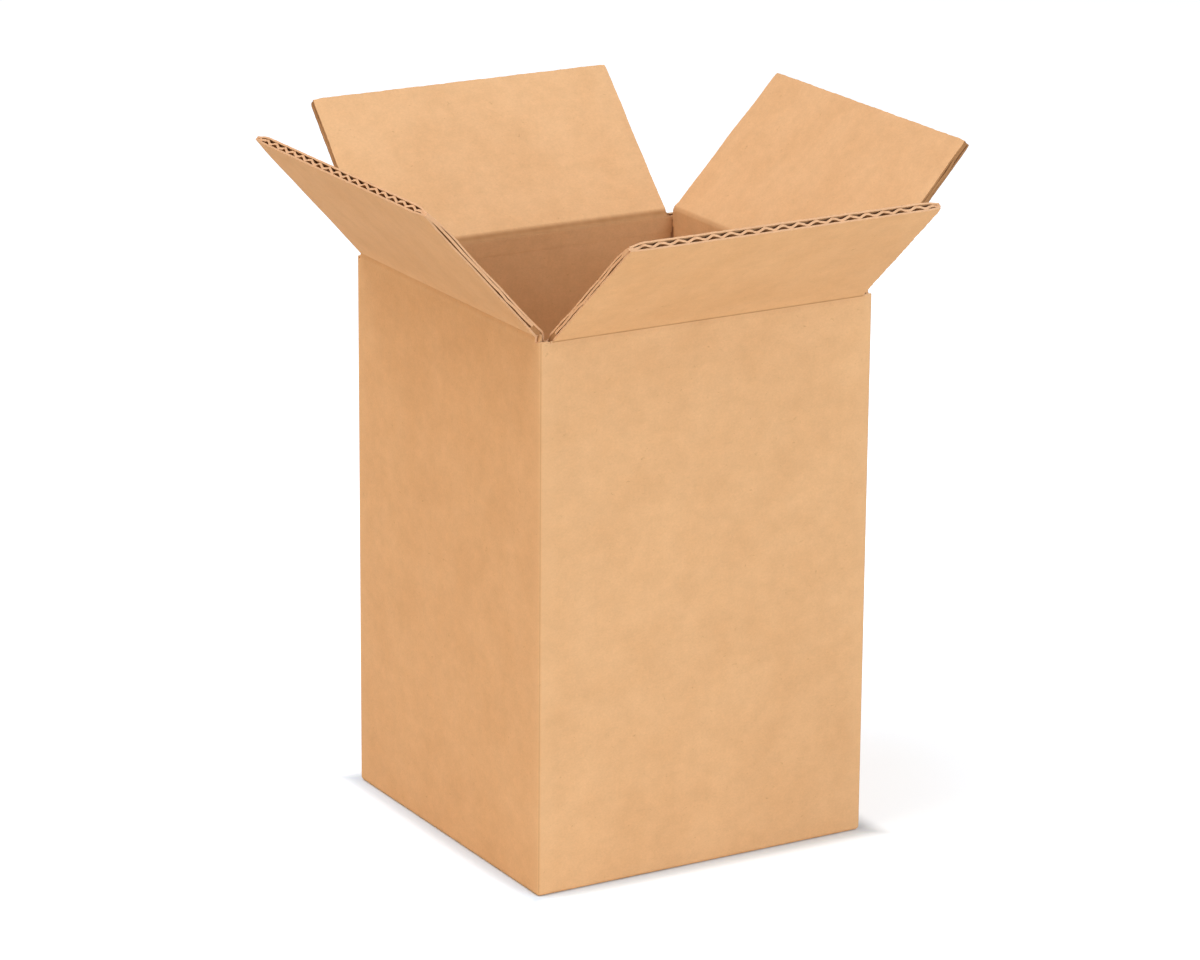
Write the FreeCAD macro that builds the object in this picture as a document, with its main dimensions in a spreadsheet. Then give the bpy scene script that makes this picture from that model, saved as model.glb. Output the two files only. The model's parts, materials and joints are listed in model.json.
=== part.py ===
import FreeCAD, Part
import math
import os
import Sketcher

# Small square-base shipping carton of single-wall corrugated board, stood up with its bottom
# glued shut and its four top flaps folded outwards.
# X runs across the front, Y from front to back, Z up.
# The origin is the middle of the bottom, on the surface that the carton stands on.

doc = FreeCAD.newDocument("carton")
sheet = doc.addObject("Spreadsheet::Sheet", "Sizes")

# Driving dimensions, in millimetres and degrees
DIMENSIONS = {
    # room inside the closed carton
    "inside_width": 152.4,
    "inside_length": 152.4,
    "inside_height": 228.6,
    # corrugated board: whole board, one liner, the fluted medium and its wave
    "board": 4.0,
    "liner": 0.5,
    "medium": 0.4,
    "flute_pitch": 8.06,
    # crushed crease: what is left of the board there, and how far the crush runs each way
    "web": 0.7,
    "inner_crush": 4.2,
    "outer_crush": 5.0,
    # depth of the outer flaps' fold line under the outside of the board
    "outer_fold_depth": 2.0,
    # clearances: along a flap from the bead, beside its ends, between stacked flaps, and between
    # meeting tips
    "bead_gap": 0.5,
    "slot_gap": 0.3,
    "stack_gap": 0.2,
    "tip_gap": 4.0,
    # slots between the flaps: set-in of a flap's end at the crease, more of it at the tip, and how
    # far the ledge beside a fold lies under it
    "inner_slot": 4.8,
    "outer_slot": 2.5,
    "inner_taper": 1.6,
    "outer_taper": 2.6,
    "slot_floor": 2.2,
    # folded corners, and the slits beside the bottom flaps
    "corner_radius": 1.9,
    "bottom_slit": 0.6,
    # glue tab of the side seam
    "tab_width": 35.0,
    "tab_board": 3.0,
    "tab_setback": 8.0,
    "tab_slant": 9.0,
    "seam_gap": 0.8,
    # outward lean of each top flap from upright
    "front_lean": 49.2,
    "back_lean": 45.0,
    "left_lean": 42.2,
    "right_lean": 43.5,
}
# Sizes that follow from them
DERIVED = {
    "half_x": "=inside_width / 2 + board",
    "half_y": "=inside_length / 2 + board",
    "inner_fold_depth": "=web / 2",
    "floor_top": "=2 * board",
    "inner_crease_z": "=floor_top + inside_height + board - inner_fold_depth",
    "outer_crease_z": "=inner_crease_z + inner_fold_depth + stack_gap + board - outer_fold_depth",
    "ring_top": "=inner_crease_z - inner_crush - web",
    "ledge_top": "=inner_crease_z - slot_floor",
    "fold_radius": "=min(corner_radius; outer_slot - 2 * slot_gap)",
    "flap_start": "=web / 2 + bead_gap",
    "inner_reach": "=half_y - inner_fold_depth - tip_gap / 2",
    "outer_reach": "=half_x - outer_fold_depth - tip_gap / 2",
    "inner_half": "=half_x - inner_slot",
    "outer_half": "=half_y - outer_slot",
    "flute_depth": "=board - 2 * liner - medium",
}


def write_cell(row, alias, content):
    cell = "A" + str(row)
    sheet.set(cell, content)
    sheet.setAlias(cell, alias)


for row, (alias, value) in enumerate(DIMENSIONS.items(), start=1):
    write_cell(row, alias, str(value))
doc.recompute()
for row, (alias, formula) in enumerate(DERIVED.items(), start=len(DIMENSIONS) + 1):
    write_cell(row, alias, formula)
doc.recompute()


def size(alias):
    return float(sheet.getPropertyByName(alias))


def bound(expression):
    """The expression with "Sizes." before each named size."""
    words = []
    word = ""
    for letter in expression + " ":
        if letter.isalnum() or letter == "_":
            word += letter
            continue
        known = word in DIMENSIONS or word in DERIVED
        words.append("Sizes." + word if known else word)
        words.append(letter)
        word = ""
    return "".join(words).strip()


def origin_plane(body, role):
    return [item for item in body.Origin.OriginFeatures if item.Role == role][0]


def new_sketch(body, name, role, offset="0"):
    """A sketch on one of the body's own planes, moved along that plane's normal by offset."""
    sketch = body.newObject("Sketcher::SketchObject", name)
    sketch.AttachmentSupport = (origin_plane(body, role), "")
    sketch.MapMode = "FlatFace"
    sketch.setExpression("AttachmentOffset.Base.z", bound(offset))
    doc.recompute()
    return sketch


def outline(sketch, corners, arc_after=None, arc_centre=None):
    """A closed outline whose corners are pairs of expressions.

    The side after corner arc_after may be a half circle, whose centre lies at height arc_centre.
    """
    places = []
    for across, up in corners:
        x = float(sheet.evalExpression(across))
        y = float(sheet.evalExpression(up))
        places.append(FreeCAD.Vector(x, y, 0))
    first = sketch.GeometryCount
    count = len(corners)
    for index in range(count):
        start, end = places[index], places[(index + 1) % count]
        if index == arc_after:
            middle = (start + end) / 2
            radius = (start - end).Length / 2
            circle = Part.Circle(middle, FreeCAD.Vector(0, 0, 1), radius)
            turn = math.atan2(start.y - middle.y, start.x - middle.x)
            sketch.addGeometry(Part.ArcOfCircle(circle, turn, turn + math.pi))
        else:
            sketch.addGeometry(Part.LineSegment(start, end))
    for index in range(count):
        here, following = first + index, first + (index + 1) % count
        sketch.addConstraint(Sketcher.Constraint("Coincident", here, 2, following, 1))
    for index, (across, up) in enumerate(corners):
        for kind, expression, value in (
            ("DistanceX", across, places[index].x),
            ("DistanceY", up, places[index].y),
        ):
            at = sketch.addConstraint(
                Sketcher.Constraint(kind, -1, 1, first + index, 1, value)
            )
            sketch.setExpression("Constraints[%d]" % at, bound(expression))
    if arc_after is not None:
        height = float(sheet.evalExpression(arc_centre))
        at = sketch.addConstraint(
            Sketcher.Constraint("DistanceY", -1, 1, first + arc_after, 3, height)
        )
        sketch.setExpression("Constraints[%d]" % at, bound(arc_centre))


def rectangle(sketch, left, right, low, high):
    outline(sketch, [(left, low), (right, low), (right, high), (left, high)])


def pad(body, name, sketch, length, both_ways=False):
    feature = body.newObject("PartDesign::Pad", name)
    feature.Profile = sketch
    feature.setExpression("Length", bound(length))
    feature.Midplane = both_ways
    return feature


def pocket(body, name, sketch, length, both_ways=False):
    feature = body.newObject("PartDesign::Pocket", name)
    feature.Profile = sketch
    feature.setExpression("Length", bound(length))
    feature.Midplane = both_ways
    return feature


def crest(sketch, half, sign, crease_z, fold_depth, crush):
    """Section of a wall's top: full board, the crushed run, and the thin web with its round bead.

    half is the wall's outside from the middle, and sign says on which side it stands.
    """
    def at(depth):
        return "%d * (%s - (%s))" % (sign, half, depth)

    thin_out = at(fold_depth + " - web / 2")
    thin_in = at(fold_depth + " + web / 2")
    corners = [
        (at("board"), "ring_top"),
        (at("board"), crease_z + " - " + crush),
        (thin_in, crease_z + " - flap_start"),
        (thin_in, crease_z),
        (thin_out, crease_z),
        (thin_out, crease_z + " - flap_start"),
    ]
    if fold_depth != "inner_fold_depth":
        corners.append((at("0"), crease_z + " - " + crush))
    corners.append((at("0"), "ring_top"))
    if sign > 0:
        # the outline runs the other way round, so that the half circle still bulges upwards
        corners.reverse()
    bead = min(corners.index((thin_in, crease_z)), corners.index((thin_out, crease_z)))
    outline(sketch, corners, arc_after=bead, arc_centre=crease_z)


def stretch(sign, near, far):
    """Both ends of a stretch from near to far on the side that sign gives, the lower one first."""
    ends = ["%d * (%s)" % (sign, near), "%d * (%s)" % (sign, far)]
    if sign < 0:
        ends.reverse()
    return ends


def corner_blocks(sketch, near_x, near_y):
    """A rectangle at each corner of the plan, from near_x and near_y to the outside."""
    for sign_x in (-1, 1):
        for sign_y in (-1, 1):
            left, right = stretch(sign_x, near_x, "half_x")
            low, high = stretch(sign_y, near_y, "half_y")
            rectangle(sketch, left, right, low, high)


def corner_edges(shape, half_x, half_y):
    """Names of the outside edges at the four upright corners and round the bottom."""
    names = []
    near = 1e-6
    for number, edge in enumerate(shape.Edges, start=1):
        box = edge.BoundBox
        on_x = abs(abs(box.Center.x) - half_x) < near and box.XLength < near
        on_y = abs(abs(box.Center.y) - half_y) < near and box.YLength < near
        on_floor = box.ZMax < near
        if (on_x and on_y) or (on_floor and (on_x or on_y)):
            names.append("Edge%d" % number)
    return names


# Carton: four walls, the glue tab of the side seam and the four closed bottom flaps, all one
# folded sheet. The left and right bottom flaps lie outside, the front and back ones on top.
carton = doc.addObject("PartDesign::Body", "carton")

walls = new_sketch(carton, "wall_plan", "XY_Plane")
rectangle(walls, "-half_x", "half_x", "-half_y", "half_y")
rectangle(walls, "-(half_x - board)", "half_x - board", "-(half_y - board)", "half_y - board")
pad(carton, "walls", walls, "ring_top")

# The slots end on a ledge beside the folds, and at their level outside both flaps' ends.
ledges = new_sketch(carton, "ledge_plan", "XY_Plane", "ring_top")
corner_blocks(ledges, "inner_half", "half_y - board")
pad(carton, "slot_ledges", ledges, "ledge_top - ring_top")

corner_tops = new_sketch(carton, "corner_top_plan", "XY_Plane", "ring_top")
corner_blocks(corner_tops, "inner_half + slot_gap", "outer_half + slot_gap")
pad(carton, "corner_tops", corner_tops, "inner_crease_z - ring_top")

outer_bottom = new_sketch(carton, "outer_bottom_plan", "XY_Plane")
outer_bottom_half = "(half_y - board - bottom_slit)"
rectangle(
    outer_bottom, "-(half_x - board)", "-tip_gap / 2", "-" + outer_bottom_half, outer_bottom_half
)
rectangle(
    outer_bottom, "tip_gap / 2", "half_x - board", "-" + outer_bottom_half, outer_bottom_half
)
pad(carton, "outer_bottom_flaps", outer_bottom, "board")

inner_bottom = new_sketch(carton, "inner_bottom_plan", "XY_Plane", "board")
rectangle(inner_bottom, "-inner_half", "inner_half", "-(half_y - board)", "-tip_gap / 2")
rectangle(inner_bottom, "-inner_half", "inner_half", "tip_gap / 2", "half_y - board")
pad(carton, "inner_bottom_flaps", inner_bottom, "board")
doc.recompute()

unfolded = carton.Tip
folds = carton.newObject("PartDesign::Fillet", "folded_corners")
folds.Base = (unfolded, corner_edges(unfolded.Shape, size("half_x"), size("half_y")))
folds.setExpression("Radius", bound("fold_radius"))
doc.recompute()

inner_crest = new_sketch(carton, "inner_crest_section", "YZ_Plane")
for sign in (-1, 1):
    crest(inner_crest, "half_y", sign, "inner_crease_z", "inner_fold_depth", "inner_crush")
pad(carton, "inner_crests", inner_crest, "2 * inner_half", both_ways=True)

outer_crest = new_sketch(carton, "outer_crest_section", "XZ_Plane")
for sign in (-1, 1):
    crest(outer_crest, "half_x", sign, "outer_crease_z", "outer_fold_depth", "outer_crush")
pad(carton, "outer_crests", outer_crest, "2 * outer_half", both_ways=True)

tab = new_sketch(carton, "glue_tab_outline", "YZ_Plane", "half_x - board - tab_board")
tab_root = "-(half_y - board)"
tab_edge = "-(half_y - board) + tab_width"
outline(
    tab,
    [
        (tab_root, "floor_top + tab_setback"),
        (tab_edge, "floor_top + tab_setback + tab_slant"),
        (tab_edge, "ring_top - tab_setback - tab_slant"),
        (tab_root, "ring_top - tab_setback"),
    ],
)
pad(carton, "glue_tab", tab, "tab_board")

seam = new_sketch(carton, "seam_plan", "XY_Plane")
rectangle(
    seam, "half_x - board", "half_x + board", "-(half_y - board)", "-(half_y - board) + seam_gap"
)
side_seam = pocket(carton, "side_seam", seam, "outer_crease_z + board")
side_seam.Reversed = True
doc.recompute()


# Top flaps. Each is drawn upright in its own frame: X along the fold, Z from the fold to the
# tip, Y through the board with the outside liner towards -Y, and the fold line on the X axis.
def flap_section(sketch, fold_depth, crush, reach):
    """Side view of a flap: thin at the fold, full board from the end of the crush to the tip."""
    inside = "board - " + fold_depth
    outside = "-" + fold_depth
    corners = [
        ("web / 2", "flap_start"),
        (inside, crush),
        (inside, reach),
        (outside, reach),
    ]
    if fold_depth != "inner_fold_depth":
        corners.append((outside, crush))
    corners.append(("-web / 2", "flap_start"))
    outline(sketch, corners)


def slot_cuts(sketch, half, taper, reach):
    """The two slanted cuts that narrow a flap from its fold to its tip."""
    beyond = "(%s + board)" % half
    top = "(%s + board)" % reach
    narrow = "(%s - %s * %s / %s)" % (half, taper, top, reach)
    outline(sketch, [(half, "0"), (beyond, "0"), (beyond, top), (narrow, top)])
    outline(
        sketch,
        [("-" + half, "0"), ("-" + narrow, top), ("-" + beyond, top), ("-" + beyond, "0")],
    )


# Corners of one flute, as shares of the pitch either side of its middle
FLUTE_STEPS = (-0.375, -0.25, -0.125, 0.0, 0.125, 0.25, 0.375)
FLUTE_FOOT = 0.44


def flute(sketch, middle, foot_depth, rise):
    """One open flute: flat on a liner, and a cosine arch of the medium over it.

    rise is 1 where the arch bulges inwards from the outside liner, and -1 for the other way.
    """
    corners = [(middle + " - flute_pitch * %g" % FLUTE_FOOT, foot_depth)]
    for step in FLUTE_STEPS:
        share = (1 + math.cos(2 * math.pi * step)) / 2
        corners.append(
            (
                middle + " + flute_pitch * %g" % step,
                "%s + %d * flute_depth * %g" % (foot_depth, rise, share),
            )
        )
    corners.append((middle + " + flute_pitch * %g" % FLUTE_FOOT, foot_depth))
    outline(sketch, corners)


def top_flap(name, turn, kind, wall_half, half, taper, lean):
    """A top flap of the inner or outer pair, leaning outwards on the wall that faces turn."""
    fold_depth = kind + "_fold_depth"
    crush = kind + "_crush"
    reach = kind + "_reach"
    flutes = "(floor(2 * (%s - %s) / flute_pitch) + 1)" % (half, taper)
    body = doc.addObject("PartDesign::Body", name)

    section = new_sketch(body, name + "_section", "YZ_Plane")
    flap_section(section, fold_depth, crush, reach)
    pad(body, name + "_board", section, "2 * " + half, both_ways=True)

    slots = new_sketch(body, name + "_slots", "XZ_Plane")
    slot_cuts(slots, half, taper, reach)
    pocket(body, name + "_slot_cuts", slots, "4 * board", both_ways=True)

    wave = new_sketch(body, name + "_wave", "XY_Plane", reach)
    first = "-(2 * %s - 1) / 4 * flute_pitch" % flutes
    flute(wave, first, "liner - " + fold_depth, 1)
    flute(wave, first + " + flute_pitch / 2", "board - liner - " + fold_depth, -1)
    open_flutes = pocket(body, name + "_flute", wave, "%s - %s" % (reach, crush))

    row = body.newObject("PartDesign::LinearPattern", name + "_flutes")
    row.Originals = [open_flutes]
    row.Direction = (wave, ["H_Axis"])
    row.setExpression("Length", bound("(%s - 1) * flute_pitch" % flutes))
    row.setExpression("Occurrences", bound(flutes))
    body.Tip = row

    side = "rotation(vector(0; 0; 1); %d)" % turn
    tilt = "rotation(vector(1; 0; 0); %s)" % lean
    fold = "vector(0; %s - %s; %s_crease_z)" % (fold_depth, wall_half, kind)
    place = "placement(%s * %s; %s * %s)" % (side, fold, side, tilt)
    body.setExpression("Placement", bound(place))
    return body


flaps = [
    top_flap("flap_front", 0, "inner", "half_y", "inner_half", "inner_taper", "front_lean"),
    top_flap("flap_right", 90, "outer", "half_x", "outer_half", "outer_taper", "right_lean"),
    top_flap("flap_back", 180, "inner", "half_y", "inner_half", "inner_taper", "back_lean"),
    top_flap("flap_left", 270, "outer", "half_x", "outer_half", "outer_taper", "left_lean"),
]
doc.recompute()

for item in doc.Objects:
    if "Invalid" in item.State or "Error" in item.State:
        raise RuntimeError("%s failed: %s" % (item.Label, item.State))

os.makedirs("parts", exist_ok=True)
for piece in [carton] + flaps:
    shape = piece.Shape
    if shape.isNull() or not shape.isValid() or len(shape.Solids) != 1:
        raise RuntimeError("%s is not one sound solid" % piece.Label)
    shape.exportStep("parts/%s.step" % piece.Label)
    print(piece.Label, round(shape.Volume, 1), shape.BoundBox)
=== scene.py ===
import json
import math

import bpy
import numpy as np
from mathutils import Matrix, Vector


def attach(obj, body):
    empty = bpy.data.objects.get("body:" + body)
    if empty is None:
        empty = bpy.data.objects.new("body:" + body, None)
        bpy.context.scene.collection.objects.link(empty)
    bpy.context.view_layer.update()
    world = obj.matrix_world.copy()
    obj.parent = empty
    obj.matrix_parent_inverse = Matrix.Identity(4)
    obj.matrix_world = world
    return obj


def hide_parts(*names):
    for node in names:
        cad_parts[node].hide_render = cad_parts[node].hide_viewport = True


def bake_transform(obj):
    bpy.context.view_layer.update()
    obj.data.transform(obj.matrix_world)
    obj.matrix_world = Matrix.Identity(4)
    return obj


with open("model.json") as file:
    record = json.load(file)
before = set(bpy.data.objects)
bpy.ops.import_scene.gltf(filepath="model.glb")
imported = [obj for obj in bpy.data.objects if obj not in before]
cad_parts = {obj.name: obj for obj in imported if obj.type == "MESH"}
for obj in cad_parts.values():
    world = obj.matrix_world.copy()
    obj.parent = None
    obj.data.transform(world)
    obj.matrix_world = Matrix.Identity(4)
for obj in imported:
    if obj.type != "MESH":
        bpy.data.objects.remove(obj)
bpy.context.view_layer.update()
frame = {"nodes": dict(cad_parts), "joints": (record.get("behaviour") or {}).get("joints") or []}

# View
# The carton stands turned with its front left corner towards the viewer. A long lens looks
# slightly down on it from two metres away. Its values, in metres and in pixels of the photo,
# are fitted to the carton's corners there.
VIEW_HEADING = math.radians(30.38)
VIEW_DIP = math.radians(17.27)
VIEW_ROLL = math.radians(0.456)
VIEW_DISTANCE = 2.1493
VIEW_TARGET = np.array([0.0, 0.0, 0.120])
VIEW_ASIDE = -0.00417
VIEW_ABOVE = 0.02752
PHOTO_WIDTH = 1200
FOCAL_PIXELS = 4976.8
SENSOR_WIDTH = 36.0
FARTHEST_SEEN = 50.0

ahead = np.array(
    [
        math.sin(VIEW_HEADING) * math.cos(VIEW_DIP),
        math.cos(VIEW_HEADING) * math.cos(VIEW_DIP),
        -math.sin(VIEW_DIP),
    ]
)
aside = np.array([math.cos(VIEW_HEADING), -math.sin(VIEW_HEADING), 0.0])
above = np.cross(aside, ahead)
camera_data = bpy.data.cameras.new("camera")
camera_data.sensor_width = SENSOR_WIDTH
camera_data.lens = FOCAL_PIXELS * SENSOR_WIDTH / PHOTO_WIDTH
camera_data.clip_end = FARTHEST_SEEN
camera = bpy.data.objects.new("camera", camera_data)
bpy.context.scene.collection.objects.link(camera)
camera.location = VIEW_TARGET - ahead * VIEW_DISTANCE + aside * VIEW_ASIDE + above * VIEW_ABOVE
turned = np.eye(4)
turned[:3, 0] = aside * math.cos(VIEW_ROLL) + above * math.sin(VIEW_ROLL)
turned[:3, 1] = above * math.cos(VIEW_ROLL) - aside * math.sin(VIEW_ROLL)
turned[:3, 2] = -ahead
camera.rotation_mode = "QUATERNION"
camera.rotation_quaternion = Matrix(turned.tolist()).to_quaternion()
bpy.context.scene.camera = camera
bpy.context.scene.view_settings.view_transform = "Standard"


# Studio floor and light
# A pale sweep under big soft lamps from the front, above and the left, in an even warm surround.
# The camera sees the floor as white from a finger's width off the carton on, where its lift
# starts, and nearer than that it keeps the contact shadow.
def add_node(tree, kind, inputs=None, **settings):
    """Adds one node: settings are its properties, inputs its sockets' values or links."""
    node = tree.nodes.new(kind)
    for name, value in settings.items():
        setattr(node, name, value)
    for socket, value in (inputs or {}).items():
        if isinstance(value, bpy.types.NodeSocket):
            tree.links.new(value, node.inputs[socket])
        else:
            node.inputs[socket].default_value = value
    return node


def linear(code):
    """Linear colour of an sRGB hex code: each channel is undone by the sRGB curve."""
    channels = np.array([int(code[at:at + 2], 16) for at in (1, 3, 5)]) / 255
    dark = channels / 12.92
    light = ((channels + 0.055) / 1.055) ** 2.4
    return (*np.where(channels <= 0.04045, dark, light).tolist(), 1.0)


def seen_directly(tree):
    """1 for what the camera sees itself, in a gloss or through glass, and 0 for other light."""
    path = add_node(tree, "ShaderNodeLightPath")
    shown = path.outputs["Is Camera Ray"]
    for other in ("Is Glossy Ray", "Is Transmission Ray"):
        shown = add_node(
            tree, "ShaderNodeMath", {0: shown, 1: path.outputs[other]}, operation="MAXIMUM"
        ).outputs[0]
    return shown


WHITE = linear("#ffffff")
SURROUND = 0.38
SURROUND_TINT = (1.0, 0.76, 0.58, 1.0)
world = bpy.data.worlds.new("surround")
bpy.context.scene.world = world
world.use_nodes = True
tree = world.node_tree
tree.nodes.clear()
soft = add_node(tree, "ShaderNodeBackground", {"Color": SURROUND_TINT, "Strength": SURROUND})
white = add_node(tree, "ShaderNodeBackground", {"Color": WHITE, "Strength": 1.0})
either = add_node(
    tree, "ShaderNodeMixShader", {0: seen_directly(tree), 1: soft.outputs[0], 2: white.outputs[0]}
)
add_node(tree, "ShaderNodeOutputWorld", {0: either.outputs[0]})

FLOOR_SIZE = 40.0
FLOOR_COLOUR = linear("#faf1e1")
SEEN_COLOUR = linear("#e2f0ff")
# the light that is added where the camera sees the floor, and the metres over which it rises
FLOOR_LIFT = 0.5
LIFT_STARTS = 0.0802
LIFT_FULL = 0.0930
floor_mesh = bpy.data.meshes.new("floor")
edge = FLOOR_SIZE / 2
floor_mesh.from_pydata(
    [(-edge, -edge, 0), (edge, -edge, 0), (edge, edge, 0), (-edge, edge, 0)], [], [(0, 1, 2, 3)]
)
floor = bpy.data.objects.new("floor", floor_mesh)
bpy.context.scene.collection.objects.link(floor)

# a matt sweep that bounces warm light, and is seen cooler, with its lift over the square distance
floor_paint = bpy.data.materials.new("white_sweep")
floor_paint.use_nodes = True
tree = floor_paint.node_tree
tree.nodes.clear()
matt = add_node(tree, "ShaderNodeBsdfDiffuse", {"Color": FLOOR_COLOUR})
seen = add_node(tree, "ShaderNodeBsdfDiffuse", {"Color": SEEN_COLOUR})
where = add_node(tree, "ShaderNodeTexCoord").outputs["Object"]
spread = add_node(tree, "ShaderNodeVectorMath", {0: where}, operation="ABSOLUTE").outputs[0]
parts = add_node(tree, "ShaderNodeSeparateXYZ", {0: spread})
reach = add_node(
    tree, "ShaderNodeMath", {0: parts.outputs[0], 1: parts.outputs[1]}, operation="MAXIMUM"
).outputs[0]
strength = add_node(
    tree,
    "ShaderNodeMapRange",
    {0: reach, 1: LIFT_STARTS, 2: LIFT_FULL, 3: 0.0, 4: FLOOR_LIFT},
    interpolation_type="SMOOTHSTEP",
).outputs[0]
lift = add_node(tree, "ShaderNodeEmission", {"Color": WHITE, "Strength": strength})
lifted = add_node(tree, "ShaderNodeAddShader", {0: seen.outputs[0], 1: lift.outputs[0]})
either = add_node(
    tree, "ShaderNodeMixShader", {0: seen_directly(tree), 1: matt.outputs[0], 2: lifted.outputs[0]}
)
add_node(tree, "ShaderNodeOutputMaterial", {0: either.outputs[0]})
floor_mesh.materials.append(floor_paint)


def soft_lamp(name, place, power, side, tint):
    """A square area lamp facing the middle of the carton, with its power in watts."""
    data = bpy.data.lights.new(name, "AREA")
    data.energy = power
    data.size = side
    data.color = tint
    lamp = bpy.data.objects.new(name, data)
    bpy.context.scene.collection.objects.link(lamp)
    lamp.location = place
    towards = Vector(VIEW_TARGET.tolist()) - lamp.location
    lamp.rotation_euler = towards.to_track_quat("-Z", "Y").to_euler()


soft_lamp("key", (0.9, -1.6, 2.2), 17.0, 1.6, (0.94, 1.0, 1.0))
soft_lamp("front", (0.2, -2.6, 0.5), 27.3, 1.6, (0.88, 1.08, 1.25))
soft_lamp("overhead", (-0.75, 0.2, 2.35), 31.0, 1.6, (0.82, 1.03, 1.24))
soft_lamp("side", (-1.5, 0.0, 1.75), 13.1, 1.2, (1.0, 0.70, 0.37))


# Carton walls
# One sheet of C flute corrugated board: two stout brown kraft liners glued to a fluted paper. It
# is scored, slotted, folded round four corners and glued along one side seam. Lengths from here
# on are in millimetres.
MM = 0.001
BOARD = 4.0
FLUTE_PITCH = 8.06
WALL_HALF = 80.2

# Unbleached kraft liner, dried against a hot roll: a dull, warm brown that is faintly clouded. Its
# colours are plain, pale and deep clouds, and its specks, which also serve as the painted shade
# in the creases and on the outer corners.
KRAFT = ("#dbaf82", "#e2b88b", "#d1a374", "#a5784c")
KRAFT_GLOSS = 0.3
CLOUD_SHARE = 0.33
# heights of the paper's grain and of the flutes that show through a wall's liner
GRAIN_HEIGHT = 0.03
RIDGES = 0.03
# streaks lie level, because the paper ran through the mill across the flutes
STREAKS_LIE_LEVEL = (1.0, 1.0, 1.35)
# what the eye sees in the pulp: its width in millimetres, then the noise's detail, roughness and
# distortion, the stretch of it that shows, and what that stretch becomes
PULP = {
    "clouds": (24, 4.0, 0.6, 0.0, 0.34, 0.68, 0.0, 1.0),
    "streaks": (7, 5.0, 0.62, 0.0, 0.3, 0.7, 0.955, 1.04),
    "fibres": (1.1, 3.0, 0.7, 0.0, 0.3, 0.7, 0.95, 1.045),
    "specks": (2.3, 2.0, 0.5, 1.0, 0.70, 0.78, 0.0, 0.35),
}
# bands along the folded corners: how far in each starts and is full, and its share of colour;
# the pale band is wear, and the dark lines on the outer corner and in the inside corners are
# painted shade
WORN_BAND = (9.0, 1.6, 0.30)
CORNER_SHADE_LINE = (0.9, 0.6, 0.35)
INSIDE_SHADE_LINE = (1.3, 0.5, 0.75)
INSIDE_CORNER_SHADE = "#7a4a2c"

# the attribute with each point's share of painted shade, in the scores and on the flaps' outsides
PAINTED_SHADE = "crease_shade"
# the sockets of a Mix node that hold its two colours and their mix
FIRST = 6
SECOND = 7
MIXED = 2


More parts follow.
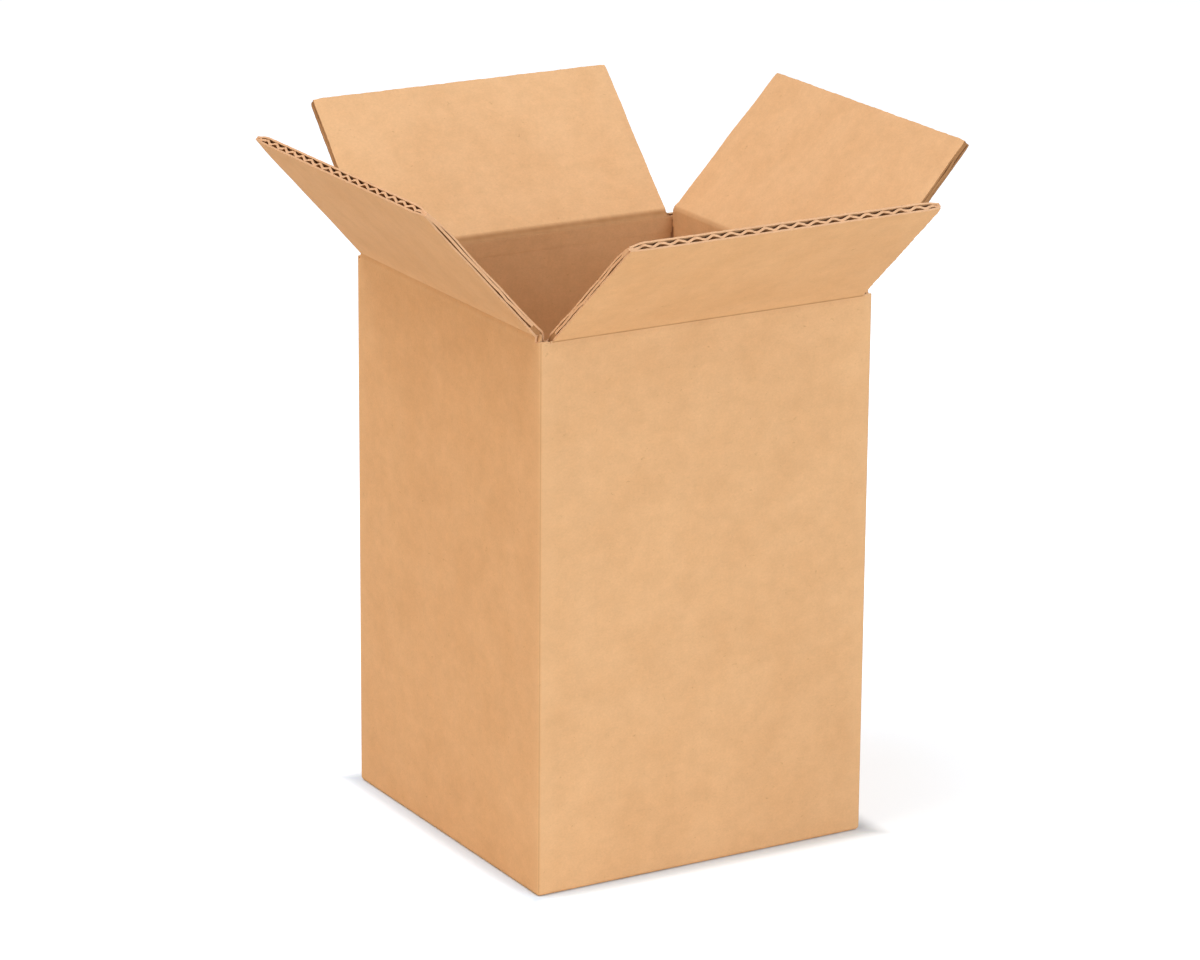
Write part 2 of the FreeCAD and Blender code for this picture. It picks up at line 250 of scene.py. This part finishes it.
def kraft_paper(name, base, pale, deep, speck_and_shade, roughness, place=None, ridges=0.0):
    """Brown kraft paper: soft clouds and streaks along the machine direction, with fibre specks.

    place is the attribute with the unfolded sheet's coordinates, or None for Object coordinates.
    ridges is the depth in millimetres to which the flutes show through the liner, and such a
    paper is also worn pale beside the folded corners, with a line of painted shade on each outer
    corner and in each inside corner.
    """
    material = bpy.data.materials.new(name)
    material.use_nodes = True
    tree = material.node_tree
    tree.nodes.clear()
    if place:
        where = add_node(tree, "ShaderNodeAttribute", attribute_name=place).outputs["Vector"]
    else:
        where = add_node(tree, "ShaderNodeTexCoord").outputs["Object"]
    in_mm = add_node(
        tree, "ShaderNodeVectorMath", {0: where, 1: (1 / MM,) * 3}, operation="MULTIPLY"
    ).outputs[0]
    level = add_node(
        tree, "ShaderNodeVectorMath", {0: in_mm, 1: STREAKS_LIE_LEVEL}, operation="MULTIPLY"
    ).outputs[0]

    noise = {}
    shown = {}
    for part, (width, detail, rough, twist, starts, ends, first, last) in PULP.items():
        noise[part] = add_node(
            tree,
            "ShaderNodeTexNoise",
            {
                "Vector": in_mm if part == "clouds" else level,
                "Scale": 1 / width,
                "Detail": detail,
                "Roughness": rough,
                "Distortion": twist,
            },
        ).outputs["Fac"]
        shown[part] = add_node(
            tree,
            "ShaderNodeMapRange",
            {0: noise[part], 1: starts, 2: ends, 3: first, 4: last},
        ).outputs[0]

    clouded = add_node(
        tree,
        "ShaderNodeMix",
        {"Factor": shown["clouds"], FIRST: linear(deep), SECOND: linear(pale)},
        data_type="RGBA",
    ).outputs[MIXED]
    toned = add_node(
        tree,
        "ShaderNodeMix",
        {"Factor": CLOUD_SHARE, FIRST: linear(base), SECOND: clouded},
        data_type="RGBA",
    ).outputs[MIXED]
    tone = add_node(
        tree, "ShaderNodeMath", {0: shown["streaks"], 1: shown["fibres"]}, operation="MULTIPLY"
    ).outputs[0]
    toned = add_node(
        tree, "ShaderNodeVectorMath", {0: toned, "Scale": tone}, operation="SCALE"
    ).outputs[0]
    colour = add_node(
        tree,
        "ShaderNodeMix",
        {"Factor": shown["specks"], FIRST: toned, SECOND: linear(speck_and_shade)},
        data_type="RGBA",
    ).outputs[MIXED]
    # painted shade from the mesh's attribute, mixed towards the speck colour
    if place:
        painted_shade_share = add_node(tree, "ShaderNodeAttribute", attribute_name=PAINTED_SHADE).outputs["Fac"]
        colour = add_node(
            tree,
            "ShaderNodeMix",
            {"Factor": painted_shade_share, FIRST: colour, SECOND: linear(speck_and_shade)},
            data_type="RGBA",
        ).outputs[MIXED]

    # paper grain, and the corners and flutes of a folded wall
    height = add_node(
        tree, "ShaderNodeMath", {0: noise["fibres"], 1: GRAIN_HEIGHT}, operation="MULTIPLY"
    ).outputs[0]
    if ridges:
        spread = add_node(tree, "ShaderNodeVectorMath", {0: in_mm}, operation="ABSOLUTE")
        parts = add_node(tree, "ShaderNodeSeparateXYZ", {0: spread.outputs[0]})
        inset = add_node(
            tree, "ShaderNodeMath", {0: parts.outputs[0], 1: parts.outputs[1]}, operation="MINIMUM"
        ).outputs[0]
        face = add_node(
            tree, "ShaderNodeMath", {0: parts.outputs[0], 1: parts.outputs[1]}, operation="MAXIMUM"
        ).outputs[0]
        indoors = add_node(
            tree, "ShaderNodeMath", {0: face, 1: WALL_HALF - BOARD / 2}, operation="LESS_THAN"
        ).outputs[0]
        # the pale worn band, then painted shade along the outer corner and in the inside corners
        for (starts, full, share), corner, shade, only in (
            (WORN_BAND, WALL_HALF, pale, None),
            (CORNER_SHADE_LINE, WALL_HALF, speck_and_shade, None),
            (INSIDE_SHADE_LINE, WALL_HALF - BOARD, INSIDE_CORNER_SHADE, indoors),
        ):
            amount = add_node(
                tree,
                "ShaderNodeMapRange",
                {0: inset, 1: corner - starts, 2: corner - full, 3: 0.0, 4: share},
            ).outputs[0]
            if only is not None:
                amount = add_node(
                    tree, "ShaderNodeMath", {0: amount, 1: only}, operation="MULTIPLY"
                ).outputs[0]
            colour = add_node(
                tree,
                "ShaderNodeMix",
                {"Factor": amount, FIRST: colour, SECOND: linear(shade)},
                data_type="RGBA",
            ).outputs[MIXED]
        # the flutes stand upright, so their wave runs along x on two walls and y on the others
        parts = add_node(tree, "ShaderNodeSeparateXYZ", {0: in_mm})
        across = add_node(
            tree, "ShaderNodeMath", {0: parts.outputs[0], 1: parts.outputs[1]}, operation="ADD"
        ).outputs[0]
        turns = add_node(
            tree, "ShaderNodeMath", {0: across, 1: 2 * math.pi / FLUTE_PITCH}, operation="MULTIPLY"
        ).outputs[0]
        wave = add_node(tree, "ShaderNodeMath", {0: turns}, operation="COSINE").outputs[0]
        height = add_node(
            tree, "ShaderNodeMath", {0: wave, 1: ridges, 2: height}, operation="MULTIPLY_ADD"
        ).outputs[0]
    bump = add_node(
        tree, "ShaderNodeBump", {"Height": height, "Distance": MM, "Strength": 1.0}
    ).outputs[0]
    surface = add_node(
        tree,
        "ShaderNodeBsdfPrincipled",
        {
            "Base Color": colour,
            "Roughness": roughness,
            "Normal": bump,
            "Specular IOR Level": KRAFT_GLOSS,
        },
    )
    add_node(tree, "ShaderNodeOutputMaterial", {0: surface.outputs[0]})
    return material


kraft_walls = kraft_paper("kraft_walls", *KRAFT, 0.78, ridges=RIDGES)
carton = frame["nodes"]["carton"]
carton.data.materials.clear()
carton.data.materials.append(kraft_walls)


# Top flaps
# Each flap is the same board beyond its score line, cut open at the tip and along both ends. The
# liners show as two thin pale edges with the fluted paper between them.
HINGES = {joint["child"]: joint for joint in frame["joints"]}
UPRIGHT_TO_CLOSED = 90.0
# the liners and the fluted paper are drawn about four times as thick as real ones, so that
# they show
LINER = 0.8
MEDIUM = 1.1
FLUTE_COUNT = 19
# thickness of the crushed web, and half the length over which it bends
WEB = 0.7
BEND = 0.6

# the front and back flaps close first, so they lie inside the left and right ones
INNER = {
    "depth": WEB / 2,  # of the fold line under the outside face
    "reach": 77.85,  # from the fold to the tip
    "half": 75.4,  # of the width at the fold
    "taper": 1.6,  # of that half, on the way to the tip
    "dents": (0.0, 0.3),  # depth of the score, outside and inside
    "shades": (0.95, 0.85),  # how dark the painted shade in the score is, outside and inside
    "shoulder": -0.3,  # the wall's corner, under the fold
    "overlap": 1.6,  # of the creased liners onto that corner
    "flap_shade": 0.07,  # painted shade: how much darker the outside is drawn, growing away from the fold
    "start": 4.4,  # of the open board, clear of the wall when folded right over
}
OUTER = {
    "depth": 2.0,
    "reach": 76.2,
    "half": 77.7,
    "taper": 2.6,
    "dents": (0.8, 0.1),
    "shades": (0.3, 0.25),
    "shoulder": -2.8,
    "overlap": 0.6,
    "flap_shade": 0.17,
    "start": 5.2,
}
SIDES = {
    "flap_front": (0, INNER),
    "flap_right": (90, OUTER),
    "flap_back": (180, INNER),
    "flap_left": (270, OUTER),
}
# how much farther in each cut end lies, at the fold and at the tip: first the left end, then
# the right one, as seen from outside
SET_IN = {
    "flap_front": ((0.8, 0.6), (0.6, 0.3)),
    "flap_right": ((1.6, 2.2), (1.8, -1.1)),
    "flap_back": ((2.2, 0.0), (0.4, 0.0)),
    "flap_left": ((1.6, 0.0), (1.6, 0.0)),
}


def folded(flap, along, away, height, upright=False):
    """Places points of the board, in metres: along the fold, away from it, and height inwards.

    The middle line is a parabola from the wall to the flap: with t running from 0 to 1 over the
    bend, it is -b (1-t)^2 up + b t^2 out, straight beyond both ends, and height is measured
    square to it. upright leaves the board unfolded, in the plane of its wall.
    """
    turn, _ = SIDES[flap]
    hinge = HINGES[flap]
    pivot = np.array(hinge["pos_m"], float)
    lean = 0.0 if upright else math.radians(-hinge["range_deg"][0] - UPRIGHT_TO_CLOSED)
    t = np.clip((away + BEND) / (2 * BEND), 0, 1)
    up_part = -BEND * (1 - t) ** 2 + np.minimum(away + BEND, 0)
    out_part = BEND * t ** 2 + np.maximum(away - BEND, 0)
    if upright:
        up_part = away
        out_part = 0 * away
    back = -np.sin(lean) * out_part
    rise = up_part + np.cos(lean) * out_part
    tangent_back = -t * np.sin(lean)
    tangent_rise = (1 - t) + t * np.cos(lean)
    length = np.hypot(tangent_back, tangent_rise)
    back = back + height * tangent_rise / length
    rise = rise - height * tangent_back / length
    cosine = math.cos(math.radians(turn))
    sine = math.sin(math.radians(turn))
    x = cosine * along - sine * back
    y = sine * along + cosine * back
    return np.stack([x, y, rise], axis=-1) * MM + pivot


def bell(values, middle, below, above):
    """A bell curve of height 1 at middle, with its own width on each side of it."""
    width = np.where(values < middle, below, above)
    return np.exp(-(((values - middle) / width) ** 2))


# the groove of the score: its middle past the fold line, and its width before and after it
GROOVE_OUTSIDE = (0.3, 0.5, 0.4)
GROOVE_INSIDE = (0.1, 0.5, 0.4)


def outside(kind, away):
    """Height of the outside face over the fold line, negative outwards, with its dent."""
    return -kind["depth"] + kind["dents"][0] * bell(away, *GROOVE_OUTSIDE)


def inside(kind, away):
    """Height of the inside face over the fold line, with the shallow groove of the score."""
    return BOARD - kind["depth"] - kind["dents"][1] * bell(away, *GROOVE_INSIDE)


def ripple(values, seed, lengths):
    """Smooth unevenness between -1 and 1: the mean of cosines of those lengths.

    seed picks their phases at random, and each use adds its own number to the flap's seed.
    """
    phases = np.random.default_rng(seed).uniform(0, 2 * math.pi, len(lengths))
    waves = [np.cos(2 * math.pi * values / run + phase) for run, phase in zip(lengths, phases)]
    return sum(waves) / len(lengths)


# how near the crests come to a sharp fold, which is 1
CREST_ROUNDING = 0.9


def flute_wave(along):
    """Height of the fluted paper between -1 and 1: a triangle wave with rounded crests.

    It is the arc sine of a cosine that falls a little short of 1, over its own largest value.
    """
    first_crest = -(2 * FLUTE_COUNT - 1) / 4 * FLUTE_PITCH
    turn = 2 * math.pi * (along - first_crest) / FLUTE_PITCH
    return np.arcsin(CREST_ROUNDING * np.cos(turn)) / math.asin(CREST_ROUNDING)


def slab(faces, front, back):
    """Adds a closed slab between two grids of points of one shape to faces.

    Its quads are the two grids, the rims of the first and last row and those of the first and
    last column, numbered 0, 1 and 2, turned outwards by the sign of its volume.
    """
    rows, columns = front.shape[:2]
    count = rows * columns
    near = np.arange(count).reshape(rows, columns)
    far = near + count

    def quads(a, b, c, d):
        return np.stack([a, b, c, d], axis=-1).reshape(-1, 4)

    face = [
        quads(near[:-1, :-1], near[1:, :-1], near[1:, 1:], near[:-1, 1:]),
        quads(far[:-1, :-1], far[:-1, 1:], far[1:, 1:], far[1:, :-1]),
        quads(near[0, :-1], near[0, 1:], far[0, 1:], far[0, :-1]),
        quads(near[-1, 1:], near[-1, :-1], far[-1, :-1], far[-1, 1:]),
        quads(near[1:, 0], near[:-1, 0], far[:-1, 0], far[1:, 0]),
        quads(near[:-1, -1], near[1:, -1], far[1:, -1], far[:-1, -1]),
    ]
    rim = np.concatenate([np.full(len(part), at // 2) for at, part in enumerate(face)])
    face = np.concatenate(face)
    points = np.concatenate([front.reshape(-1, 3), back.reshape(-1, 3)])
    centred = points - points.mean(axis=0)
    a, b, c, d = (centred[face[:, corner]] for corner in range(4))
    volume = (np.cross(a, b) * c).sum() + (np.cross(a, c) * d).sum()
    if volume < 0:
        face = face[:, ::-1]
    faces.append((points, face, rim))


# the attribute with each point's place on the unfolded sheet
UNFOLDED = "unfolded_place"
SHARP_EDGE = math.radians(40)


def board_piece(name, flap, layers, materials):
    """An object of slabs: layers holds (front, back, papers of the faces, rims and ends).

    front and back are (along, away, height) grids in the board's own terms. A fourth entry is the
    grid of painted shade: how much darker the paper is drawn in its crease and on a flap's
    outside.
    """
    slabs = []
    flat = []
    tint = []
    shade = []
    for front, back, papers, *crease in layers:
        slab(slabs, folded(flap, *front), folded(flap, *back))
        flat.append(folded(flap, *front, upright=True).reshape(-1, 3))
        flat.append(folded(flap, *back, upright=True).reshape(-1, 3))
        tint.append(np.array(papers)[slabs[-1][2]])
        shade.extend([crease[0] if crease else 0 * front[2]] * 2)
    starts = np.cumsum([0] + [len(points) for points, _, _ in slabs[:-1]])
    points = np.concatenate([points for points, _, _ in slabs])
    face = np.concatenate([quad + start for (_, quad, _), start in zip(slabs, starts)])
    mesh = bpy.data.meshes.new(name)
    mesh.from_pydata(points.tolist(), [], face.tolist())
    for material in materials:
        mesh.materials.append(material)
    mesh.polygons.foreach_set("material_index", np.concatenate(tint).astype(np.int32))
    place = mesh.attributes.new(UNFOLDED, "FLOAT_VECTOR", "POINT")
    place.data.foreach_set("vector", np.concatenate(flat).astype(np.float32).ravel())
    dark = mesh.attributes.new(PAINTED_SHADE, "FLOAT", "POINT")
    dark.data.foreach_set("value", np.concatenate([grid.ravel() for grid in shade]))
    mesh.shade_smooth()
    mesh.set_sharp_from_angle(angle=SHARP_EDGE)
    mesh.update()
    piece = bpy.data.objects.new(name, mesh)
    bpy.context.scene.collection.objects.link(piece)
    return piece


# The liners as on the walls, their cut edges, which are raw, pale and furry, and the fluting, a
# rougher and darker paper of old boxes.
kraft_outside = kraft_paper("kraft_outside", *KRAFT, 0.78, place=UNFOLDED)
kraft_inside = kraft_paper("kraft_inside", *KRAFT, 0.82, place=UNFOLDED)
kraft_cut = kraft_paper(
    "kraft_cut_edge", "#d8ac86", "#e0b792", "#c99c76", "#a87c54", 0.9, place=UNFOLDED
)
kraft_medium = kraft_paper(
    "kraft_fluting", "#a67a52", "#b48a60", "#946a44", "#7c563a", 0.9, place=UNFOLDED
)
PAPERS = [kraft_outside, kraft_inside, kraft_cut, kraft_medium]
OUTSIDE_PAPER, INSIDE_PAPER, CUT_PAPER, FLUTE_PAPER = range(4)
# painted shade: the cut ends of these flaps take the darker fluting paper, for the shadowed gap
# between their liners
SHADED_ENDS = ("flap_right", "flap_back")

# points along the fold and away from it, first for the liners, then for the fluted paper
COLUMNS = 6 * FLUTE_COUNT + 1
ROWS = 72
FLUTE_COLUMNS = 16 * FLUTE_COUNT + 1
FLUTE_ROWS = 14
# rows lie closer together near the fold
ROW_SPACING = 1.5
# how far the cut tip wanders, and over what lengths
TIP_WANDER = 0.18
TIP_WAVES = (5.3, 11.0, 31.0)


def end_at(flap, share, away):
    """Distance of the flap's cut end from its middle, on the side that share's sign names."""
    kind = SIDES[flap][1]
    run = np.clip(away / kind["reach"], 0, 1)
    (first_fold, first_tip), (last_fold, last_tip) = SET_IN[flap]
    first = first_fold + (first_tip - first_fold) * run
    last = last_fold + (last_tip - last_fold) * run
    return kind["half"] - kind["taper"] * run - np.where(share < 0, first, last)


def flap_plan(flap, seed, columns, rows):
    """Grids along and away for a flap's open board, and how far in from its end each point is."""
    kind = SIDES[flap][1]
    start = kind["start"]
    share = np.linspace(-1, 1, columns)[None, :]
    run = np.linspace(0, 1, rows)[:, None] ** ROW_SPACING
    tip = kind["reach"] + TIP_WANDER * ripple(share * kind["half"], seed, TIP_WAVES)
    away = start + run * (tip - start)
    end = end_at(flap, share, away)
    return share * end, away, (1 - np.abs(share)) * end


# how far in the slotting knife squeezes the board, and the outside liner's part of that
CRUSH_WIDTH = 2.5
OUTSIDE_GIVES = 0.25
# how much it squeezes along the cut, how much that varies, and over what lengths at each end
CRUSH = 0.6
CRUSH_VARIES = 0.3
CRUSH_WAVES_FIRST = (27.0, 61.0)
CRUSH_WAVES_LAST = (31.0, 57.0)
# how much more the board is squeezed at its outer corners, and over what length
CORNER_CRUSH = {"flap_front": 0.8, "flap_right": 0.1, "flap_back": 0.1, "flap_left": 1.3}
CORNER_LENGTH = 7.0
CORNER_WIDENS = 0.8


def edge_crush(flap, along, away, inward, seed):
    """Millimetres by which the slotting knife has squeezed the board near its cut ends.

    A bell curve over the distance from the end, whose height wanders along the cut.
    """
    uneven = np.where(
        along < 0,
        ripple(away, seed + 11, CRUSH_WAVES_FIRST),
        ripple(away, seed + 12, CRUSH_WAVES_LAST),
    )
    reach = SIDES[flap][1]["reach"]
    corner = CORNER_CRUSH[flap] * bell(away, reach, CORNER_LENGTH, CORNER_LENGTH)
    width = CRUSH_WIDTH * (1 + CORNER_WIDENS * corner)
    return (CRUSH + CRUSH_VARIES * uneven + corner) * bell(inward, 0, width, width)


# how far the cut ends wander, over what lengths, how far the waves of the two ends are
# shifted to differ, how far in that is felt, and how the corners at the tip are rounded
FRAY = {"flap_front": 0.32, "flap_right": 0.14, "flap_back": 0.12, "flap_left": 0.2}
FRAY_WAVES = (1.9, 3.3, 5.7, 14.0)
FRAY_SHIFT = 3
FRAY_WIDTH = 0.8
CORNER_ROUND = 0.35
CORNER_ROUND_LENGTH = 1.4


def ragged(flap, along, away, inward, seed):
    """Moves the cut ends of a liner to and fro by fibres, and rounds its corners."""
    end = bell(inward, 0, FRAY_WIDTH, FRAY_WIDTH)
    fray = FRAY[flap] * ripple(away + FRAY_SHIFT * np.sign(along), seed, FRAY_WAVES)
    reach = SIDES[flap][1]["reach"]
    rounding = CORNER_ROUND * bell(away, reach, CORNER_ROUND_LENGTH, CORNER_ROUND_LENGTH)
    return along + np.sign(along) * end * (fray - rounding)


# height to which the flutes show through the liners, which fades this near the fold
SHOW_THROUGH = 0.03
SHOW_THROUGH_FADES = 2


def liner_heights(flap, along, away, inward, seed):
    """Heights of the outside and inside faces, which show the flutes and the crushed ends."""
    kind = SIDES[flap][1]
    faded = 1 - bell(away, 0, SHOW_THROUGH_FADES, SHOW_THROUGH_FADES)
    through = SHOW_THROUGH * flute_wave(along) * faded
    crush = edge_crush(flap, along, away, inward, seed)
    out = outside(kind, away) + through + OUTSIDE_GIVES * crush
    inn = inside(kind, away) + through - (1 - OUTSIDE_GIVES) * crush
    return out, inn


# length over which the painted shade on a flap's outside grows from the fold
FLAP_SHADE_OVER = 14


def flap_shading(kind, away):
    """Share of painted shade in the outside paper, which grows along a ramp away from the fold."""
    return kind["flap_shade"] * np.clip(away / FLAP_SHADE_OVER, 0, 1)


# how far short of the tip the fluted paper ends, how evenly, and how sharply towards the tip
MEDIUM_SHORT = 0.25
MEDIUM_SHORT_WAVES = (3.1, 7.7)
MEDIUM_SHORT_POWER = 8
# the least that the fluted paper swings where the board is crushed
LEAST_SWING = 0.02
# how far its waves have slipped sideways, and how far the knife has hooked them at the ends
SLIP = 0.35
SLIP_WAVES = (17.0, 29.0, 41.0)
HOOK = 4.4
HOOK_VARIES = 0.6
HOOK_WAVES = (19.0, 43.0)
HOOK_SHIFT = 40
HOOK_WIDTH = 1.5


def flap_board(flap, seed):
    """The open board of one flap: outside liner, inside liner and the fluted paper.

    The fluted paper follows the middle between the liners, plus the flute wave times what room
    the liners leave it. Its wave is read a little to one side, by a slip that wanders along the
    tip and by a hook that grows towards the cut ends.
    """
    kind = SIDES[flap][1]
    along, away, inward = flap_plan(flap, seed, COLUMNS, ROWS)
    out, inn = liner_heights(flap, along, away, inward, seed)
    first = ragged(flap, along, away, inward, seed + 31)
    second = ragged(flap, along, away, inward, seed + 32)
    # painted shade on the flap's outside, darker away from the fold
    flap_shade = flap_shading(kind, away)
    # the cut ends of the right and back flaps take the fluting paper, as painted shade
    edges = (CUT_PAPER, FLUTE_PAPER if flap in SHADED_ENDS else CUT_PAPER)
    layers = [
        ((first, away, out), (first, away, out + LINER), (OUTSIDE_PAPER, *edges), flap_shade),
        ((second, away, inn), (second, away, inn - LINER), (INSIDE_PAPER, *edges)),
    ]
    along, away, inward = flap_plan(flap, seed, FLUTE_COLUMNS, FLUTE_ROWS)
    short = MEDIUM_SHORT * (1 + ripple(along, seed + 5, MEDIUM_SHORT_WAVES))
    away = away - short * (away / kind["reach"]) ** MEDIUM_SHORT_POWER
    out, inn = liner_heights(flap, along, away, inward, seed)
    low = out + LINER
    high = inn - LINER
    swing = np.maximum((high - low) / 2 - MEDIUM / 2, LEAST_SWING)
    hooked = HOOK_VARIES * ripple(away + HOOK_SHIFT * np.sign(along), seed + 8, HOOK_WAVES)
    hook = HOOK * (HOOK_VARIES + hooked) * np.sign(along) * bell(inward, 0, HOOK_WIDTH, HOOK_WIDTH)
    slip = SLIP * ripple(along, seed + 7, SLIP_WAVES) + hook
    height = (high + low) / 2 + swing * flute_wave(along + slip)
    under = (along, away, height - MEDIUM / 2)
    over = (along, away, height + MEDIUM / 2)
    layers.append((under, over, (FLUTE_PAPER, *edges)))
    piece = board_piece(flap + "_board", flap, layers, PAPERS)
    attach(piece, flap)
    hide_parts(flap)


# each flap's random draws start this far from the last one's
SEED_STEP = 100
for number, flap in enumerate(SIDES):
    flap_board(flap, SEED_STEP * number)


# Score lines
# Where the board folds it is crushed to a thin web. Both liners run on over it from the wall to
# the flap, puffed up a little on the wall side.
# how far the strips reach each way, their rows, and how closely those gather at the fold
STRIP_REACH = 9.0
STRIP_ROWS = 57
STRIP_GATHER = 3.5
# how far the strips stand proud, and how deep their borders dip into the board
PROUD = 0.04
SUNK = 0.15
BORDER_WIDTH = 0.8
# lengths over which the strip widens under the shoulder, and the flap's own form sets in
SHOULDER_RUN = 0.5
FLAP_RUN = 3
# height of the puffed liner, its place and widths, how much it varies and over what lengths
PUFF = 0.18
PUFF_PLACE = (-2.2, 1.6, 1.2)
PUFF_VARIES = 0.3
PUFF_WAVES = (9, 23)
# place and widths of the score's dark, partly a darker stretched liner and partly painted shade,
# how even it is and over what lengths
SHADE_OUTSIDE = (0.3, 0.3, 0.9)
SHADE_INSIDE = (0.05, 0.55, 0.4)
SHADE_VARIES = 0.1
SHADE_WAVES = (7.0, 31.0)
# rows of the crushed core, where it starts, how far it goes on under the open board, how much
# shorter it is and how deep the liners are sunk in it
CORE_ROWS = 18
CORE_START = -3.2
CORE_PAST = 0.4
CORE_SHORT = 0.15
CORE_TUCKS_IN = 0.9
# a distance past the fold line at which one point of the fold is placed, which nothing uses
TURN_REACH = 1.2


def score_line(flap, seed):
    """The two liners over one fold, as strips a hair proud of the wall and the flap.

    Their rows gather at the fold line by a hyperbolic sine, and their heights are those of the
    board with the puff added and the border sunk.
    """
    kind = SIDES[flap][1]
    share = np.linspace(-1, 1, COLUMNS)[None, :]
    steps = np.linspace(-STRIP_GATHER, STRIP_GATHER, STRIP_ROWS)[:, None]
    away = STRIP_REACH * np.sinh(steps) / math.sinh(STRIP_GATHER) + 0 * share
    end = end_at(flap, share, away)
    on_corner = np.clip((kind["shoulder"] - away) / SHOULDER_RUN, 0, 1)
    end = end + (kind["half"] + kind["overlap"] - end) * on_corner
    along = share * end
    inward = (1 - np.abs(share)) * end
    onto_flap = np.clip(away / FLAP_RUN, 0, 1)
    out, inn = liner_heights(flap, along, away, inward, seed)
    out = outside(kind, away) + (out - outside(kind, away)) * onto_flap
    inn = inside(kind, away) + (inn - inside(kind, away)) * onto_flap
    # the strip dips into the wall along its border, so that it has no rim there
    border = bell(inward, 0, kind["overlap"] / 2, kind["overlap"] / 2) * on_corner
    border = np.maximum(border, bell(np.abs(away), STRIP_REACH, BORDER_WIDTH, BORDER_WIDTH))
    puff = PUFF * bell(away, *PUFF_PLACE) * (1 + PUFF_VARIES * ripple(along, seed, PUFF_WAVES))
    out = out - ((puff + PROUD) * (1 - border) - SUNK * border)
    inn = inn + PROUD * (1 - border) - SUNK * border
    # the score's dark: painted shade, partly also the darker stretched liner
    uneven = 1 - SHADE_VARIES + SHADE_VARIES * ripple(along, seed + 3, SHADE_WAVES)
    out_dark = kind["shades"][0] * bell(away, *SHADE_OUTSIDE) * uneven
    # the flap's painted shade carries on over the strip
    out_dark = np.maximum(out_dark, flap_shading(kind, away))
    inn_dark = kind["shades"][1] * bell(away, *SHADE_INSIDE) * uneven
    edges = (CUT_PAPER, CUT_PAPER)
    layers = [
        ((along, away, out), (along, away, out + LINER), (OUTSIDE_PAPER, *edges), out_dark),
        ((along, away, inn), (along, away, inn - LINER), (INSIDE_PAPER, *edges), inn_dark),
    ]
    # crushed fluting between them at the fold
    away = np.linspace(CORE_START, kind["start"] + CORE_PAST, CORE_ROWS)[:, None] + 0 * share
    along = share * (end_at(flap, share, away) - CORE_SHORT)
    low = outside(kind, away) + LINER * CORE_TUCKS_IN
    high = inside(kind, away) - LINER * CORE_TUCKS_IN
    layers.append(((along, away, low), (along, away, high), (FLUTE_PAPER,) * 3))
    piece = board_piece(flap.replace("flap", "score") + "_line", flap, layers, PAPERS)
    middle = np.array(0.0)
    end = folded(flap, middle, np.array(TURN_REACH), middle)
    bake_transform(piece)


for number, flap in enumerate(SIDES):
    score_line(flap, SEED_STEP * number)
